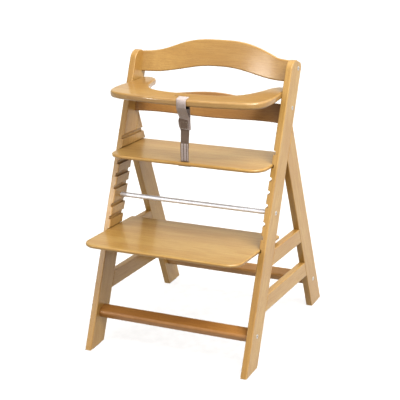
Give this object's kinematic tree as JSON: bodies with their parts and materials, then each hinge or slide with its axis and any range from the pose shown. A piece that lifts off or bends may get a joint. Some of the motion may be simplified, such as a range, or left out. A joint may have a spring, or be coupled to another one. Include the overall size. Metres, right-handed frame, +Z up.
{
  "type": "baby high chair",
  "caption": "Wooden high chair with A-shaped side frames, curved backrests, a guard bar with a crotch strap, and seat and foot plates that slide in grooves.",
  "frame": {"origin": "on the floor, under the middle of the chair's bounding box", "axes": "+Z up, -Y towards the front, where the sitter's feet point, +X to the right of a person facing the chair from the front"},
  "size_m": [0.4862, 0.5596, 0.79],
  "materials": {
    "beech_frame": "satin clear lacquer",
    "beech_bar": "gloss clear lacquer",
    "beech_panel": "satin clear lacquer",
    "beech_plate": "satin clear lacquer",
    "dowel_wood": "plain",
    "rod_metal": "satin",
    "screw_steel": "bright zinc",
    "webbing": "woven",
    "dark_plastic": "fine texture"
  },
  "bodies": {
    "frame": {"left_front_post": "beech_frame", "right_front_post": "beech_frame", "left_rear_leg": "beech_frame", "right_rear_leg": "beech_frame", "left_upper_side_rail": "beech_frame", "right_upper_side_rail": "beech_frame", "left_lower_side_rail": "beech_frame", "right_lower_side_rail": "beech_frame", "front_crossbar": "beech_frame", "rear_crossbar": "beech_frame", "guard_bar": "beech_bar", "upper_backrest": "beech_panel", "lower_backrest": "beech_panel", "seam_dowels": "dowel_wood", "rail_dowels": "dowel_wood", "backrest_dowels": "dowel_wood", "guard_bar_dowels": "dowel_wood", "crossbar_dowels": "dowel_wood", "tie_rod": "rod_metal", "tie_rod_bolts": "screw_steel", "crossbar_bolts": "screw_steel", "backrest_screws": "screw_steel", "barrel_nuts": "screw_steel", "strap_loop": "webbing", "foot_glides": "dark_plastic"},
    "seat": {"seat_plate": "beech_plate", "crotch_strap": "webbing", "strap_stop": "dark_plastic"},
    "foot_rest": {"foot_plate": "beech_plate"}
  },
  "joints": [
    {"name": "seat_slide", "type": "slide", "parent": "frame", "child": "seat", "axis": [0, 0.9969, -0.0785], "range_m": [-0.06, 0.02], "deforming": ["crotch_strap"]},
    {"name": "foot_plate_slide", "type": "slide", "parent": "frame", "child": "foot_rest", "axis": [0, 0.9969, -0.0785], "range_m": [-0.04, 0.09]}
  ]
}
